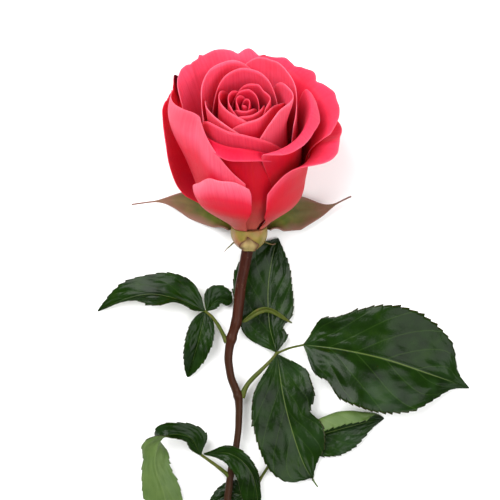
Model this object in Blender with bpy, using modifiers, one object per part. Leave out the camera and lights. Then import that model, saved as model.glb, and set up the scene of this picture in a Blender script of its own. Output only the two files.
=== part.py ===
"""A cut rose laid on its side: stem, compound leaves, sepals, receptacle and spirally set petals.

Lengths are in millimetres here and metres in the finished model. +X is the right of the flower
as its face is seen, +Y runs from the cut end of the stem to the bloom, and +Z is up.
"""

import math

import bmesh
import bpy
from mathutils import Matrix, Vector

MM = 0.001

# The bloom's foot sits at BLOOM_BASE and leans up from the table by BLOOM_LEAN; its axis bends
# on by BLOOM_BEND over BLOOM_HEIGHT, so that the open face looks up and away from the stem, and
# sways BLOOM_SWAY to the side.
BLOOM_BASE = (-0.4, 10.4, 14.9)
BLOOM_LEAN = 18.0
BLOOM_BEND = 38.0
BLOOM_HEIGHT = 64.0
BLOOM_SWAY = -2.0

PETAL_THICK = 0.45
LEAF_THICK = 0.6
SEPAL_THICK = 0.7
BRACT_THICK = 0.4

PETAL_RED = (0.80, 0.07, 0.13, 1.0)
LEAF_GREEN = (0.02, 0.07, 0.02, 1.0)
SEPAL_GREEN = (0.22, 0.26, 0.05, 1.0)
RECEPTACLE_GREEN = (0.35, 0.32, 0.10, 1.0)
STEM_BROWN = (0.14, 0.04, 0.03, 1.0)
STALK_GREEN = (0.16, 0.18, 0.04, 1.0)

# Stem: its middle line from the receptacle to the slanted cut, and its radius along it.
STEM_ROUTE = [
    (-1.0, 0.0, 10.6),
    (-3.7, -14.0, 8.6),
    (-5.4, -28.3, 7.9),
    (-7.9, -37.5, 7.2),
    (-9.0, -45.0, 6.6),
    (-7.8, -53.4, 6.1),
    (-5.0, -60.8, 5.7),
    (-4.6, -68.0, 5.4),
    (-5.2, -78.0, 5.0),
    (-7.1, -89.0, 4.6),
    (-8.8, -99.0, 4.2),
    (-10.0, -113.0, 3.7),
    (-10.0, -130.0, 3.2),
    (-9.0, -155.0, 2.6),
    (-7.5, -184.0, 2.1),
    (-7.0, -213.0, 1.5),
]
STEM_RADII = [2.4, 2.2, 2.1, 1.85, 1.7, 1.65, 1.75, 1.55, 1.45, 1.5, 1.55, 1.5, 1.5, 1.5, 1.5, 1.5]

# The receptacle from its top to the stem, as (radius, height) along the bloom's foot.
RECEPTACLE = [
    (0, -0.8), (6.6, -0.8), (7.3, -1.6), (7.6, -3.4), (7.3, -5.4),
    (6.3, -7.6), (4.6, -9.4), (2.9, -10.4), (0, -10.6),
]

# Petals from the heart outwards. az is the way a petal faces round the bloom (0 right, 90 down to
# the table, 180 left, 270 up to the viewer) and span is half its width, in degrees. profile is its
# middle line from foot to rim as (distance from the axis, height). start and end spread and lift
# the side with the smaller and the larger azimuth. before and after say how far the rim falls away
# towards each of them, and how late. full is how far up the petal reaches its full width.
PETALS = {
    "petal_01": dict(az=250, span=150, profile=[(0.6, 0), (2.0, 20), (2.2, 42), (1.0, 59)]),
    "petal_02": dict(az=30, span=130, profile=[(0.9, 0), (3.0, 20), (3.3, 42), (2.1, 60)]),
    "petal_03": dict(az=160, span=120, profile=[(1.2, 0), (4.0, 20), (4.4, 42), (3.2, 61)]),
    "petal_04": dict(az=275, span=115, profile=[(1.5, 0), (5.0, 20), (5.6, 42), (4.3, 59.5)]),
    "petal_05": dict(az=60, span=110, profile=[(1.8, 0), (5.95, 20), (6.65, 42), (5.4, 61.5)]),
    "petal_06": dict(az=175, span=105, profile=[(2.1, 0), (7.1, 19), (7.9, 41), (6.4, 62)]),
    "petal_07": dict(az=300, span=100, profile=[(2.4, 0), (8.1, 19), (9.05, 40), (7.5, 60.5)]),
    "petal_08": dict(az=35, span=100, profile=[(2.65, 0), (9.15, 19), (10.35, 40), (8.3, 62.5)]),
    "petal_09": dict(
        az=205, span=95, after=(0.1, 3.4),
        profile=[(2.9, 0), (10.15, 18), (11.65, 39), (9.8, 64)],
    ),
    "petal_10": dict(az=308, span=86, profile=[(3.2, 0), (11.1, 18), (12.8, 38), (11.0, 61.5)]),
    "petal_11": dict(az=84, span=93, profile=[(3.5, 0), (12.2, 18), (14.0, 38), (12.2, 65.5)]),
    "petal_12": dict(
        az=207, span=82, before=(0.26, 2.6), start=(0, -2),
        profile=[(3.8, 0), (13.1, 17), (14.95, 36), (15.5, 63.5)],
    ),
    "petal_13": dict(az=350, span=70, profile=[(4.1, 0), (14.0, 17), (15.9, 36), (15.9, 65.5)]),
    "petal_14": dict(az=133, span=77, profile=[(4.35, 0), (15.0, 16), (17.3, 35), (17.0, 66)]),
    "petal_15": dict(
        az=259, span=68, start=(-0.4, 2), end=(0, -6),
        profile=[(4.65, 0), (15.8, 15), (18.2, 33), (18.9, 64)],
    ),
    "petal_16": dict(az=40, span=66, profile=[(4.9, 0), (16.6, 15), (18.8, 32), (20.0, 48), (20.6, 65)]),
    "petal_17": dict(
        az=264, span=64, claw=0.6, start=(-2, -3), end=(-1.5, -11),
        profile=[(5.5, 0), (17.5, 14), (19.9, 30), (21.0, 45), (21.9, 57), (24.2, 55)],
    ),
    "petal_18": dict(
        az=335, span=50, full=0.7, start=(1, 1.5),
        profile=[(5.8, 0), (18.3, 13), (21.1, 28), (22.5, 44), (25.6, 56), (29.4, 54)],
    ),
    "petal_19": dict(
        az=121, span=54, end=(1, 0.5),
        profile=[(5.5, 0), (18.2, 13), (20.9, 27), (22.6, 42), (26.0, 54), (30.4, 59.5)],
    ),
    "petal_20": dict(
        az=40, span=58, start=(3, -1),
        profile=[(5.8, 0), (18.7, 12), (22.0, 25), (24, 40), (29.8, 50.5), (35.8, 52.5)],
    ),
    "petal_21": dict(
        az=216, span=52, full=0.3, claw=0.45, before=(0.04, 3.4), after=(0.5, 1.0), start=(8, -2),
        profile=[(6.4, 0), (18.9, 12), (21.8, 22), (23.2, 34), (23.6, 45), (22.8, 56), (20.8, 66)],
    ),
    "petal_22": dict(
        az=338, span=50, full=0.2, claw=0.6, before=(0.55, 1.9),
        profile=[(6.65, 0), (20.3, 12), (23.6, 24), (25.6, 34), (29.5, 42), (38.5, 45.5)],
    ),
    "petal_23": dict(
        az=85, span=46, full=0.3,
        profile=[(6.4, 0), (20.6, 11), (24.2, 23), (27, 36), (33, 45), (39, 46)],
    ),
    "petal_24": dict(
        az=240, span=33, full=0.45, claw=0.7, before=(0.14, 3.4), start=(-0.6, -7), end=(0, 2),
        profile=[(7.2, 0), (20.3, 11), (23.7, 19.5), (25.5, 28), (26.4, 37)],
    ),
    "petal_25": dict(
        az=158, span=28, full=0.3, before=(0.3, 3.4), after=(0.3, 3.4),
        profile=[(7.0, 0), (22.0, 10.5), (29, 18), (32, 29), (33, 41), (33, 53)],
    ),
}
CLAW = 0.32
SHOULDER = (0.16, 3.4)
FULL_WIDTH = 0.4

# Sepals: middle line as (azimuth, distance from the axis, height), half width and twist.
# Their outline: the share of the full width at the foot, where it is widest, where it starts
# to narrow and over how much of the length it does.
SEPAL_OUTLINE = (0.62, 0.3, 0.3, 0.7)
SEPALS = {
    "sepal_left": dict(
        width=5.6, twist=-70, outline=(0.2, 0.5, 0.52, 0.34),
        route=[
            (156, 8.4, -2.9), (143, 14.8, -0.9), (146.4, 25.4, 3.2), (159.4, 36.1, 5.8),
            (167.2, 50.2, 4.9),
        ],
    ),
    "sepal_right": dict(
        width=6.9, twist=70, outline=(0.2, 0.55, 0.5, 0.38),
        route=[
            (22, 8.4, -2.8), (31.4, 13.9, -1.3), (29.6, 21.7, 1.4), (19.3, 33, 3.2),
            (12.3, 43.4, 8.7),
        ],
    ),
    "sepal_back": dict(
        width=4.2, twist=0,
        route=[(88, 8.3, -2.6), (88, 10.0, -5.5), (88, 10.8, -9.5), (88, 10.2, -14), (88, 9.0, -19.5)],
    ),
}

# The torn bract against the front of the receptacle, and the two bristles beside it.
FLAP = dict(
    width=3.6, twist=0,
    route=[(270, 5.3, -10.0), (270, 7.3, -7.8), (269, 8.05, -5.2), (266, 8.3, -3.0)],
)
BRISTLES = {
    "bristle_left": [(188, 7.1, -7.8), (192, 9.0, -9.6), (196, 10.6, -11.0)],
    "bristle_right": [(352, 7.3, -7.4), (350, 9.4, -8.0), (348, 11.2, -7.6)],
}
BRISTLE_RADII = (0.35, 0.2)

# Leaflets: the middle line from base to tip, half width, tilt of the blade about that line in
# degrees (+ lifts the right side as seen looking along it) and fold along the midrib in degrees.
# One leaflet turns over on its way to the tip, by its twist.
LEAFLETS = {
    "leaflet_1a": dict(
        width=8.5, tilt=24, fold=18,
        route=[
            (-19.3, -25.3, 5.5), (-29, -20.8, 8.5), (-41.6, -18.3, 8.5), (-54.3, -21.3, 5.0),
            (-63.8, -25.6, 0.4),
        ],
    ),
    "leaflet_1b": dict(
        width=6.6, tilt=-8, fold=14,
        route=[(-18.6, -27.2, 5.4), (-20.8, -35.4, 6.0), (-23.4, -44.7, 4.5), (-26.0, -53.2, 1.5)],
    ),
    "leaflet_1c": dict(
        width=4.6, tilt=10, fold=12,
        route=[(-17.9, -24.4, 5.0), (-13.0, -20.6, 3.2), (-7.6, -21.8, 2.4)],
    ),
    "leaflet_2a": dict(
        width=10.4, tilt=0, fold=5,
        route=[
            (10.3, -41.4, 3.8), (8.2, -31.4, 2.6), (7.6, -16.8, 1.6), (9.2, -4.2, 1.2),
            (11.7, 5.0, 1.0),
        ],
    ),
    "leaflet_2b": dict(
        width=15.4, tilt=-4, fold=12,
        route=[
            (11.6, -46.2, 4.2), (13.8, -60.4, 6.5), (17.5, -75.0, 7.0), (22.4, -89.2, 4.0),
            (27.4, -98.4, 0.8),
        ],
    ),
    "leaflet_2c": dict(
        width=22.5, tilt=-4, fold=10,
        route=[
            (22.4, -39.5, 5.5), (37.4, -41.2, 9.0), (56.1, -45.3, 10.0), (75.1, -51.8, 6.0),
            (91.9, -57.9, 0.4),
        ],
    ),
    "leaflet_3a": dict(
        width=11.5, tilt=30, fold=10, rows=20, twist=150,
        route=[
            (-20.6, -85.4, 5.6), (-25.5, -77.5, 10.0), (-36.0, -77.5, 12.5), (-39.5, -88.0, 10.5),
            (-36.0, -101.0, 7.0), (-32.5, -116.0, 1.0),
        ],
    ),
    "leaflet_3b": dict(
        width=7.4, tilt=10, fold=16,
        route=[
            (-18.8, -84.9, 6.5), (-8.5, -84.4, 10.5), (-0.5, -90.5, 10.5), (2.9, -101.0, 8.0),
            (3.6, -119.0, 1.0),
        ],
    ),
    "leaflet_4a": dict(
        width=13.0, tilt=8, fold=14,
        route=[(17.4, -81.2, 1.8), (29.2, -77.5, 2.2), (41.8, -74.0, 2.4), (56.2, -70.6, 0.8)],
    ),
    "leaflet_4b": dict(
        width=6.4, tilt=0, fold=4,
        route=[(-0.6, -103.4, 1.4), (-8.0, -102.4, 0.9), (-17.5, -107.0, 0.8)],
    ),
}

# Leaf stalks: middle line from the stem to the leaflets, radius at the stem and at the end.
STALKS = {
    "stalk_1": dict(
        radii=(0.9, 0.55),
        route=[(-10.7, -37.2, 6.6), (-12.6, -32.5, 6.2), (-15.6, -28.2, 5.8), (-18.6, -25.5, 5.4)],
    ),
    "stalk_2": dict(
        radii=(1.1, 0.7),
        route=[(-2.6, -60.0, 5.6), (2.5, -53.2, 5.2), (8.6, -45.4, 4.8), (10.7, -43.2, 4.6)],
    ),
    "stalk_2c": dict(radii=(0.6, 0.5), route=[(11.8, -42.8, 4.7), (16.7, -40.9, 5.0), (21.9, -39.6, 5.4)]),
    "stalk_3": dict(
        radii=(1.0, 0.7),
        route=[(-10.0, -92.6, 4.6), (-13.8, -89.6, 4.8), (-19.6, -85.6, 5.2)],
    ),
    "stalk_4": dict(
        radii=(0.9, 0.5),
        route=[
            (-7.6, -122.0, 3.3), (-2.0, -111.0, 2.0), (3.6, -97.4, 1.7), (10.5, -87.0, 1.7),
            (16.7, -81.6, 1.7),
        ],
    ),
}

BRACTS = {
    "stem_bract": dict(
        width=1.5, tilt=15, fold=10,
        route=[(-3.2, -30.0, 7.4), (6.5, -24.8, 6.6), (17.6, -30.5, 4.0)],
    ),
}


def spline(points, t):
    """The point at share t of a smooth curve through the points."""
    points = [Vector(p) for p in points]
    last = len(points) - 1
    at = min(max(t, 0.0), 1.0) * last
    i = min(int(at), last - 1)
    f = at - i
    b, c = points[i], points[i + 1]
    a = points[i - 1] if i else 2 * b - c
    d = points[i + 2] if i + 2 <= last else 2 * c - b
    return 0.5 * (2 * b + (c - a) * f + (2 * a - 5 * b + 4 * c - d) * f**2 + (3 * b - a - 3 * c + d) * f**3)


def smooth(t):
    t = min(max(t, 0.0), 1.0)
    return t * t * (3 - 2 * t)


def around(azimuth, radius, height):
    """A point of the bloom, given round its straight axis, carried onto the bent one."""
    a = math.radians(azimuth)
    back = radius * math.sin(a)
    rate = math.radians(BLOOM_BEND) / BLOOM_HEIGHT
    turn = rate * height
    return Vector((
        radius * math.cos(a) + BLOOM_SWAY * (height / BLOOM_HEIGHT) ** 2,
        back * math.cos(turn) - (1 - math.cos(turn)) / rate,
        back * math.sin(turn) + math.sin(turn) / rate,
    ))


def petal_point(p, u, v):
    """A petal's surface: u runs -1 to 1 across it and v runs 0 to 1 from foot to rim."""
    fall, power = p.get("after" if u > 0 else "before", SHOULDER)
    share = v * (1 - fall * abs(u) ** power)
    radius, height = spline(p["profile"], share)
    claw = p.get("claw", CLAW)
    width = claw + (1 - claw) * smooth(share / p.get("full", FULL_WIDTH))
    width *= 1 - 0.12 * smooth((share - 0.7) / 0.3)
    side = p.get("end" if u > 0 else "start", (0, 0))
    grow = smooth((share - 0.25) / 0.6) * smooth(abs(u) / 0.8)
    azimuth = p["az"] + p["span"] * width * u
    return around(azimuth, radius + side[0] * grow, height + side[1] * grow)


def outline(v):
    """Half width of a leaflet at share v of its length: rounded at the base, drawn out at the tip."""
    return 2.3 * (v + 0.004) ** 0.55 * (1.01 - v) ** 0.8 * (1 - 0.2 * v)


def frame_at(route, t, tilt):
    """Middle point, sideways and upward directions of a blade that follows the route."""
    middle = spline(route, t)
    ahead = (spline(route, t + 0.01) - spline(route, t - 0.01)).normalized()
    side = ahead.cross(Vector((0, 0, 1))).normalized()
    turn = Matrix.Rotation(math.radians(tilt), 3, ahead)
    side = turn @ side
    return middle, side, side.cross(ahead)


def leaf_point(leaf, u, v):
    tilt = leaf["tilt"] + leaf.get("twist", 0) * smooth((v - 0.3) / 0.3)
    middle, side, up = frame_at(leaf["route"], v, tilt)
    half = leaf["width"] * outline(v) * u
    fold = math.radians(leaf["fold"])
    return middle + side * half * math.cos(fold) + up * abs(half) * math.sin(fold)


def sepal_point(sepal, u, v):
    azimuth, radius, height = spline(sepal["route"], v)
    foot, widest, narrows, taper = sepal.get("outline", SEPAL_OUTLINE)
    half = sepal["width"] * (foot + (1 - foot) * smooth(v / widest))
    half = half * (1 - smooth((v - narrows) / taper)) + 0.35
    centre = around(azimuth, radius, height)
    ahead = around(*spline(sepal["route"], v + 0.02)) - around(*spline(sepal["route"], v - 0.02))
    ahead.normalize()
    side = Vector((math.sin(math.radians(azimuth)), -math.cos(math.radians(azimuth)), 0))
    side = (side - ahead * side.dot(ahead)).normalized()
    turn = Matrix.Rotation(math.radians(sepal["twist"]) * smooth(v / 0.35), 3, ahead)
    return centre + turn @ side * half * u


def material(name, colour, roughness):
    made = bpy.data.materials.new(name)
    made.use_nodes = True
    shader = made.node_tree.nodes["Principled BSDF"]
    shader.inputs["Base Color"].default_value = colour
    shader.inputs["Roughness"].default_value = roughness
    shader.inputs["Metallic"].default_value = 0.0
    return made


def add(name, data, parent, look):
    made = bpy.data.objects.new(name, data)
    data.materials.append(look)
    made.parent = parent
    cut_rose.objects.link(made)
    return made


def sheet(name, point_at, across, along, thick, parent, look):
    """A thin blade: a grid carried to point_at(u, v) and given its thickness."""
    mesh = bpy.data.meshes.new(name)
    bm = bmesh.new()
    bmesh.ops.create_grid(bm, x_segments=across, y_segments=along, size=0.5)
    for vertex in bm.verts:
        vertex.co = point_at(2 * vertex.co.x, vertex.co.y + 0.5) * MM
    bm.to_mesh(mesh)
    bm.free()
    mesh.shade_smooth()
    made = add(name, mesh, parent, look)
    thicken = made.modifiers.new("thickness", "SOLIDIFY")
    thicken.thickness = thick * MM
    thicken.offset = 0
    return made


def tube(name, route, radii, parent, look, steps=3):
    """A round bar along a smooth curve through the route, tapering through the radii."""
    curve = bpy.data.curves.new(name, "CURVE")
    curve.dimensions = "3D"
    curve.bevel_depth = MM
    curve.bevel_resolution = 1
    curve.use_fill_caps = True
    line = curve.splines.new("POLY")
    count = steps * (len(route) - 1) + 1
    line.points.add(count - 1)
    for i, point in enumerate(line.points):
        share = i / (count - 1)
        point.co = (*(spline(route, share) * MM), 1)
        point.radius = spline([(r, 0) for r in radii], share)[0]
    return add(name, curve, parent, look)


def turned(name, profile, parent, look, steps):
    """A solid of revolution about its own Z from a profile listed top to bottom."""
    mesh = bpy.data.meshes.new(name)
    bm = bmesh.new()
    verts = [bm.verts.new((r * MM, 0, h * MM)) for r, h in profile]
    for a, b in zip(verts, verts[1:]):
        bm.edges.new((a, b))
    bm.to_mesh(mesh)
    bm.free()
    made = add(name, mesh, parent, look)
    screw = made.modifiers.new("turn", "SCREW")
    screw.steps = screw.render_steps = steps
    screw.use_merge_vertices = True
    screw.merge_threshold = 0.00005
    return made


def build_bloom(bloom):
    red = material("petal_red", PETAL_RED, 0.6)
    for name, p in PETALS.items():
        across, along = (10, 8) if len(p["profile"]) > 4 else (8, 6)
        sheet(name, lambda u, v, p=p: petal_point(p, u, v), across, along, PETAL_THICK, bloom, red)
    green = material("sepal_green", SEPAL_GREEN, 0.6)
    for name, s in SEPALS.items():
        sheet(name, lambda u, v, s=s: sepal_point(s, u, v), 4, 8, SEPAL_THICK, bloom, green)
    sheet("bract_front", lambda u, v: sepal_point(FLAP, u, v), 4, 5, BRACT_THICK, bloom, green)
    for name, route in BRISTLES.items():
        tube(name, [around(*p) for p in route], BRISTLE_RADII, bloom, green, steps=2)
    pale = material("receptacle_green", RECEPTACLE_GREEN, 0.5)
    turned("receptacle", RECEPTACLE, bloom, pale, 20)


def build_stem(plant):
    brown = material("stem_brown", STEM_BROWN, 0.45)
    tube("stem", STEM_ROUTE, STEM_RADII, plant, brown, steps=2)


def build_leaves(plant):
    green = material("leaf_green", LEAF_GREEN, 0.35)
    for name, leaf in LEAFLETS.items():
        rows = leaf.get("rows", 9)
        sheet(name, lambda u, v, leaf=leaf: leaf_point(leaf, u, v), 4, rows, LEAF_THICK, plant, green)
    stalk_green = material("stalk_green", STALK_GREEN, 0.5)
    for name, stalk in STALKS.items():
        tube(name, stalk["route"], stalk["radii"], plant, stalk_green, steps=3)
    for name, bract in BRACTS.items():
        sheet(name, lambda u, v, b=bract: leaf_point(b, u, v), 2, 6, BRACT_THICK, plant, stalk_green)


def rest_point():
    """Where the plant goes for the model's origin to be the middle of its underside."""
    bpy.context.view_layer.update()
    graph = bpy.context.evaluated_depsgraph_get()
    corners = []
    for piece in cut_rose.objects:
        if piece.type == "EMPTY":
            continue
        evaluated = piece.evaluated_get(graph)
        corners += [evaluated.matrix_world @ v.co for v in evaluated.to_mesh().vertices]
        evaluated.to_mesh_clear()
    low, high = (Vector([pick(c[axis] for c in corners) for axis in range(3)]) for pick in (min, max))
    return Vector((-(low.x + high.x) / 2, -(low.y + high.y) / 2, -low.z))


for old in list(bpy.data.objects):
    bpy.data.objects.remove(old)
cut_rose = bpy.data.collections.new("cut_rose")
bpy.context.scene.collection.children.link(cut_rose)
plant = bpy.data.objects.new("plant", None)
bloom = bpy.data.objects.new("bloom", None)
for empty in (plant, bloom):
    cut_rose.objects.link(empty)
bloom.parent = plant
bloom.location = Vector(BLOOM_BASE) * MM
bloom.rotation_euler.x = math.radians(BLOOM_LEAN - 90)
build_bloom(bloom)
build_stem(plant)
build_leaves(plant)
plant.location = rest_point()
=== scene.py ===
import math
from functools import partial

import bmesh
import bpy
from mathutils import Matrix, Vector, noise


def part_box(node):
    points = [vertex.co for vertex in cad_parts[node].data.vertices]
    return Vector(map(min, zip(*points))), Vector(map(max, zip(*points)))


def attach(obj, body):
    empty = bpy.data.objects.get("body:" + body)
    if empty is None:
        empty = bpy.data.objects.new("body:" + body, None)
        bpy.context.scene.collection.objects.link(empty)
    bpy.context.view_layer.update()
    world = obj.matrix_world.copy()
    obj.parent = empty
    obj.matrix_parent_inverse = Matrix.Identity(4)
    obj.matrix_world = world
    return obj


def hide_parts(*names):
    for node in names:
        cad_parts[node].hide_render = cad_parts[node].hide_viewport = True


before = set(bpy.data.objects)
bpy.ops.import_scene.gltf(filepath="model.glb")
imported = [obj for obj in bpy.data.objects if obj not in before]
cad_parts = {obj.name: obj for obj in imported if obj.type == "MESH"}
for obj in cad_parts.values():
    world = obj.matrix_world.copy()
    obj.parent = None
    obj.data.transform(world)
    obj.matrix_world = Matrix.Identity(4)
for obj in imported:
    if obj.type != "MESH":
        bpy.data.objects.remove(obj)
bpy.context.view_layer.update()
mm = 0.001
leafVeins = dict(count=6.0, slant=0.40)  # side veins on each half, and how far they run forwards


# a smooth curve through the points, t from 0 to 1
def spline(points, t):
    points = [Vector(p) for p in points]
    last = len(points) - 1
    at = min(max(t, 0.0), 1.0) * last
    i = min(int(at), last - 1)
    f = at - i
    b, c = points[i], points[i + 1]
    a = points[i - 1] if i else 2 * b - c
    d = points[i + 2] if i + 2 <= last else 2 * c - b
    slope, curve, twist = c - a, 2 * a - 5 * b + 4 * c - d, 3 * b - a - 3 * c + d
    return 0.5 * (2 * b + slope * f + curve * f**2 + twist * f**3)


def smooth(t):
    t = min(max(t, 0.0), 1.0)
    return t * t * (3 - 2 * t)


def bump(x, width):
    return math.exp(-(x / width) ** 2)


# the flower's axis leans up from the table and bends on, as in the solids
flower = dict(base=(-0.4, 10.4, 14.9), lean=18.0, bend=38.0, height=64.0, sway=-2.0)
flowerTurn = Matrix.Rotation(math.radians(flower["lean"] - 90), 3, "X")


def around(azimuth, radius, height):
    a = math.radians(azimuth)
    back = radius * math.sin(a)
    rate = math.radians(flower["bend"]) / flower["height"]
    turn = rate * height
    local = Vector((
        radius * math.cos(a) + flower["sway"] * (height / flower["height"]) ** 2,
        back * math.cos(turn) - (1 - math.cos(turn)) / rate,
        back * math.sin(turn) + math.sin(turn) / rate,
    ))
    return Vector(flower["base"]) + flowerTurn @ local


# one material's nodes, with short words for the usual ones
class Nodes:
    def __init__(self, name):
        self.material = bpy.data.materials.new(name)
        self.material.use_nodes = True
        self.tree = self.material.node_tree
        self.shader = self.tree.nodes["Principled BSDF"]
        self.output = self.tree.nodes["Material Output"]

    def add(self, kind, **values):
        node = self.tree.nodes.new(kind)
        for key, value in values.items():
            setattr(node, key, value)
        return node

    def link(self, source, target):
        self.tree.links.new(source, target)

    def value(self, source, target):
        if isinstance(source, (int, float)):
            target.default_value = source
        else:
            self.link(source, target)

    def maths(self, operation, a, b=0.0):
        node = self.add("ShaderNodeMath", operation=operation)
        for source, target in zip((a, b), node.inputs):
            self.value(source, target)
        return node.outputs[0]

    def ramp(self, source, stops):
        node = self.add("ShaderNodeValToRGB")
        elements = node.color_ramp.elements
        while len(elements) < len(stops):
            elements.new(0.5)
        for element, (place, colour) in zip(elements, stops):
            element.position = place
            element.color = (*colour, 1)
        self.link(source, node.inputs[0])
        return node.outputs[0]

    def mix(self, share, a, b):
        node = self.add("ShaderNodeMix", data_type="RGBA")
        self.value(share, node.inputs["Factor"])
        for source, target in ((a, node.inputs[6]), (b, node.inputs[7])):
            if isinstance(source, tuple):
                target.default_value = (*source, 1)
            else:
                self.link(source, target)
        return node.outputs[2]

    def noise(self, vector, scale, detail, roughness=0.5):
        node = self.add("ShaderNodeTexNoise")
        node.inputs["Scale"].default_value = scale
        node.inputs["Detail"].default_value = detail
        node.inputs["Roughness"].default_value = roughness
        self.link(vector, node.inputs["Vector"])
        return node.outputs["Fac"]

    def spread(self, source, low, high):
        node = self.add("ShaderNodeMapRange")
        node.inputs["From Min"].default_value = low
        node.inputs["From Max"].default_value = high
        self.link(source, node.inputs["Value"])
        return node.outputs[0]

    def objectPlace(self):
        return self.add("ShaderNodeTexCoord").outputs["Object"]

    def bladeMap(self):
        return self.add("ShaderNodeUVMap", uv_map="blade").outputs["UV"]

    def uv(self):
        split = self.add("ShaderNodeSeparateXYZ")
        self.link(self.bladeMap(), split.inputs[0])
        return split.outputs[0], split.outputs[1]

    def fromMidrib(self, across):
        return self.maths("MULTIPLY", self.maths("ABSOLUTE", self.maths("SUBTRACT", across, 0.5)), 2.0)

    def stretch(self, vector, scale):
        node = self.add("ShaderNodeMapping")
        node.inputs["Scale"].default_value = scale
        self.link(vector, node.inputs["Vector"])
        return node.outputs[0]

    def bump(self, height, strength, distance):
        node = self.add("ShaderNodeBump")
        node.inputs["Strength"].default_value = strength
        node.inputs["Distance"].default_value = distance
        self.link(height, node.inputs["Height"])
        self.link(node.outputs[0], self.shader.inputs["Normal"])

    def attribute(self, name):
        return self.add("ShaderNodeAttribute", attribute_name=name).outputs["Fac"]


# the dark lower reaches of the red ramps and the pale pink tops of the inner rose ramp are partly the
# petals' own colour, partly painted shade and painted light
petalColours = dict(  # foot to rim, on the face that looks out and the one that looks in
    outer=dict(
        red=[
            (0.0, (0.34, 0.055, 0.11)), (0.12, (0.28, 0.022, 0.05)), (0.3, (0.34, 0.001, 0.012)),
            (0.62, (0.50, 0.002, 0.024)), (0.85, (0.72, 0.010, 0.052)), (1.0, (0.86, 0.036, 0.105)),
        ],
        rose=[
            (0.0, (0.56, 0.030, 0.10)), (0.2, (0.72, 0.036, 0.11)), (0.6, (0.88, 0.085, 0.19)),
            (1.0, (0.95, 0.15, 0.27)),
        ],
    ),
    inner=dict(
        red=[
            (0.0, (0.60, 0.16, 0.10)), (0.3, (0.62, 0.004, 0.014)), (0.7, (0.74, 0.004, 0.022)),
            (0.86, (0.88, 0.022, 0.070)), (1.0, (0.92, 0.050, 0.12)),
        ],
        rose=[
            (0.0, (0.66, 0.20, 0.14)), (0.4, (0.66, 0.008, 0.022)), (0.62, (0.84, 0.018, 0.06)),
            (0.78, (0.97, 0.13, 0.23)), (1.0, (1.0, 0.26, 0.38)),
        ],
    ),
)


def petalLook(name, face):
    # red at the heart of the flower, pinker on the guard petals; rims pale, foot greenish. The deep
    # red lower down and in the heart is partly painted shade, and the pale rim band is partly a
    # painted highlight
    m = Nodes(name)
    across, along = m.uv()
    bladeMap = m.bladeMap()
    pink = m.attribute("pink")
    depth = m.attribute("depth")
    red, rose = (m.ramp(depth, petalColours[face][part]) for part in ("red", "rose"))
    colour = m.mix(pink, red, rose)
    place = m.objectPlace()
    cloudy = m.spread(m.noise(place, 75.0, 4.0), 0.35, 0.75)
    colour = m.mix(m.maths("MULTIPLY", cloudy, 0.38), colour, (0.78, 0.015, 0.045))
    # fan of fine veins, from the foot to the rim
    veins = m.noise(m.stretch(bladeMap, (46.0, 2.2, 1.0)), 1.0, 4.0, 0.6)
    fine = m.noise(m.stretch(bladeMap, (150.0, 5.0, 1.0)), 1.0, 2.0, 0.5)
    streak = m.spread(veins, 0.35, 0.65)
    colour = m.mix(m.maths("MULTIPLY", streak, 0.30), colour, (0.60, 0.006, 0.045))
    side = m.fromMidrib(across)
    # pale band along the rims: partly the rims' own paler tint, partly a painted highlight where they
    # catch light
    aboveFoot = m.maths("MINIMUM", m.maths("MULTIPLY", along, 1.6), 1.0)
    rim = m.spread(m.maths("MAXIMUM", m.maths("MULTIPLY", side, aboveFoot), along), 0.965, 1.0)
    colour = m.mix(m.maths("MULTIPLY", rim, 0.16), colour, (0.98, 0.27, 0.35))
    # near-black bits of curled rim: painted shade
    colour = m.mix(m.attribute("rimShade"), colour, (0.050, 0.003, 0.010))
    m.link(colour, m.shader.inputs["Base Color"])
    m.shader.inputs["Roughness"].default_value = 0.52
    m.shader.inputs["Specular IOR Level"].default_value = 0.18
    m.shader.inputs["Sheen Weight"].default_value = 0.04
    m.shader.inputs["Sheen Roughness"].default_value = 0.5
    m.shader.inputs["Sheen Tint"].default_value = (1.0, 0.62, 0.70, 1)
    m.shader.inputs["Subsurface Weight"].default_value = 0.2
    m.shader.inputs["Subsurface Radius"].default_value = (1.0, 0.18, 0.22)
    m.shader.inputs["Subsurface Scale"].default_value = 0.0012
    relief = m.maths("ADD", m.maths("MULTIPLY", veins, 0.7), m.maths("MULTIPLY", fine, 0.3))
    m.bump(relief, 0.5, 0.0004)
    glow = m.add("ShaderNodeBsdfTranslucent")
    m.link(m.mix(0.25, colour, (1.0, 0.03, 0.09)), glow.inputs["Color"])
    both = m.add("ShaderNodeMixShader")
    both.inputs[0].default_value = 0.34
    m.link(m.shader.outputs[0], both.inputs[1])
    m.link(glow.outputs[0], both.inputs[2])
    m.link(both.outputs[0], m.output.inputs["Surface"])
    return m.material


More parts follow.
